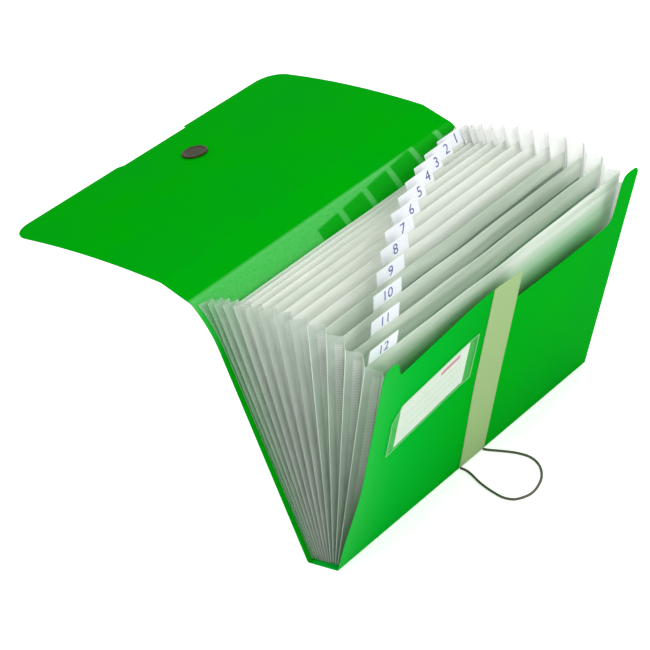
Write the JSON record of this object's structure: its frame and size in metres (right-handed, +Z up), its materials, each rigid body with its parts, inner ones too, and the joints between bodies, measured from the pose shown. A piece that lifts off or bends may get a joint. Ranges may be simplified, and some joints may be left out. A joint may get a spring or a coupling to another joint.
{
  "type": "expanding document case",
  "caption": "Expanding document case for A4 paper, open in a V on its base, with tabbed pocket sheets between folded gussets and its flap turned back.",
  "frame": {"origin": "middle of the underside of the base panel, on the table", "axes": "+X along the case, towards the end that is away from the label; +Y towards the back, where the flap lies; +Z up"},
  "size_m": [0.338, 0.4109, 0.2682],
  "materials": {
    "green_cover": "satin, with a fine sand grain",
    "pocket_sheet": "frosted translucent",
    "gusset": "thin white film",
    "paper": "matt paper",
    "clear_film": "clear gloss film",
    "strap": "flat woven strap",
    "elastic": "round braided elastic",
    "button": "dark bronze, moulded"
  },
  "bodies": {
    "root": {"base_panel": "green_cover", "gusset_left": "gusset", "gusset_right": "gusset", "elastic_loop": "elastic"},
    "front": {"front_cover": "green_cover", "label_pocket": "clear_film", "label_card": "paper", "strap": "strap"},
    "back": {"back_cover": "green_cover"},
    "strip": {"top_strip": "green_cover"},
    "flap": {"flap": "green_cover", "button_disc": "button", "button_knob": "button"},
    "sheet_01": {"pocket_sheet_01": "pocket_sheet", "tab_label_01": "paper"},
    "sheet_02": {"pocket_sheet_02": "pocket_sheet", "tab_label_02": "paper"},
    "sheet_03": {"pocket_sheet_03": "pocket_sheet", "tab_label_03": "paper"},
    "sheet_04": {"pocket_sheet_04": "pocket_sheet", "tab_label_04": "paper"},
    "sheet_05": {"pocket_sheet_05": "pocket_sheet", "tab_label_05": "paper"},
    "sheet_06": {"pocket_sheet_06": "pocket_sheet", "tab_label_06": "paper"},
    "sheet_07": {"pocket_sheet_07": "pocket_sheet", "tab_label_07": "paper"},
    "sheet_08": {"pocket_sheet_08": "pocket_sheet", "tab_label_08": "paper"},
    "sheet_09": {"pocket_sheet_09": "pocket_sheet", "tab_label_09": "paper"},
    "sheet_10": {"pocket_sheet_10": "pocket_sheet", "tab_label_10": "paper"},
    "sheet_11": {"pocket_sheet_11": "pocket_sheet", "tab_label_11": "paper"},
    "sheet_12": {"pocket_sheet_12": "pocket_sheet", "tab_label_12": "paper"}
  },
  "joints": [
    {"name": "front_cover_hinge", "type": "hinge", "parent": "root", "child": "front", "pos_m": [0, -0.017, 0.0003], "axis": [-1, 0, 0], "range_deg": [0, 29.85], "deforming": ["gusset_left", "gusset_right"]},
    {"name": "back_cover_hinge", "type": "hinge", "parent": "root", "child": "back", "pos_m": [0, 0.017, 0.0003], "axis": [1, 0, 0], "range_deg": [0, 11.7]},
    {"name": "top_strip_hinge", "type": "hinge", "parent": "back", "child": "strip", "pos_m": [0, 0.06529, 0.23156], "axis": [1, 0, 0], "range_deg": [0, 110.3]},
    {"name": "flap_hinge", "type": "hinge", "parent": "strip", "child": "flap", "pos_m": [0, 0.09398, 0.24682], "axis": [1, 0, 0], "range_deg": [0, 98]},
    {"name": "sheet_01_hinge", "type": "hinge", "parent": "root", "child": "sheet_01", "pos_m": [0, 0.01439, 0.0044], "axis": [1, 0, 0], "range_deg": [0, 11]},
    {"name": "sheet_02_hinge", "type": "hinge", "parent": "root", "child": "sheet_02", "pos_m": [0, 0.01177, 0.0044], "axis": [1, 0, 0], "range_deg": [0, 9.43]},
    {"name": "sheet_03_hinge", "type": "hinge", "parent": "root", "child": "sheet_03", "pos_m": [0, 0.00915, 0.0044], "axis": [1, 0, 0], "range_deg": [0, 7.09]},
    {"name": "sheet_04_hinge", "type": "hinge", "parent": "root", "child": "sheet_04", "pos_m": [0, 0.00654, 0.0044], "axis": [1, 0, 0], "range_deg": [0, 4.29]},
    {"name": "sheet_05_hinge", "type": "hinge", "parent": "root", "child": "sheet_05", "pos_m": [0, 0.00392, 0.0044], "axis": [1, 0, 0], "range_deg": [0, 1.12]},
    {"name": "sheet_06_hinge", "type": "hinge", "parent": "root", "child": "sheet_06", "pos_m": [0, 0.00131, 0.0044], "axis": [-1, 0, 0], "range_deg": [0, 2.35]},
    {"name": "sheet_07_hinge", "type": "hinge", "parent": "root", "child": "sheet_07", "pos_m": [0, -0.00131, 0.0044], "axis": [-1, 0, 0], "range_deg": [0, 6.08]},
    {"name": "sheet_08_hinge", "type": "hinge", "parent": "root", "child": "sheet_08", "pos_m": [0, -0.00392, 0.0044], "axis": [-1, 0, 0], "range_deg": [0, 10.05]},
    {"name": "sheet_09_hinge", "type": "hinge", "parent": "root", "child": "sheet_09", "pos_m": [0, -0.00654, 0.0044], "axis": [-1, 0, 0], "range_deg": [0, 14.25]},
    {"name": "sheet_10_hinge", "type": "hinge", "parent": "root", "child": "sheet_10", "pos_m": [0, -0.00915, 0.0044], "axis": [-1, 0, 0], "range_deg": [0, 18.65]},
    {"name": "sheet_11_hinge", "type": "hinge", "parent": "root", "child": "sheet_11", "pos_m": [0, -0.01177, 0.0044], "axis": [-1, 0, 0], "range_deg": [0, 23.23]},
    {"name": "sheet_12_hinge", "type": "hinge", "parent": "root", "child": "sheet_12", "pos_m": [0, -0.01439, 0.0044], "axis": [-1, 0, 0], "range_deg": [0, 28]}
  ],
  "couplings": [
    {"joint": "back_cover_hinge", "follows": "front_cover_hinge", "ratio": 0.39196},
    {"joint": "top_strip_hinge", "follows": "front_cover_hinge", "ratio": 3.6951},
    {"joint": "flap_hinge", "follows": "front_cover_hinge", "ratio": 3.2831},
    {"joint": "sheet_01_hinge", "follows": "front_cover_hinge", "ratio": 0.36851},
    {"joint": "sheet_02_hinge", "follows": "front_cover_hinge", "ratio": 0.31585},
    {"joint": "sheet_03_hinge", "follows": "front_cover_hinge", "ratio": 0.23745},
    {"joint": "sheet_04_hinge", "follows": "front_cover_hinge", "ratio": 0.14358},
    {"joint": "sheet_05_hinge", "follows": "front_cover_hinge", "ratio": 0.037621},
    {"joint": "sheet_06_hinge", "follows": "front_cover_hinge", "ratio": 0.078559},
    {"joint": "sheet_07_hinge", "follows": "front_cover_hinge", "ratio": 0.20369},
    {"joint": "sheet_08_hinge", "follows": "front_cover_hinge", "ratio": 0.33685},
    {"joint": "sheet_09_hinge", "follows": "front_cover_hinge", "ratio": 0.47739},
    {"joint": "sheet_10_hinge", "follows": "front_cover_hinge", "ratio": 0.62469},
    {"joint": "sheet_11_hinge", "follows": "front_cover_hinge", "ratio": 0.77839},
    {"joint": "sheet_12_hinge", "follows": "front_cover_hinge", "ratio": 0.93802}
  ]
}
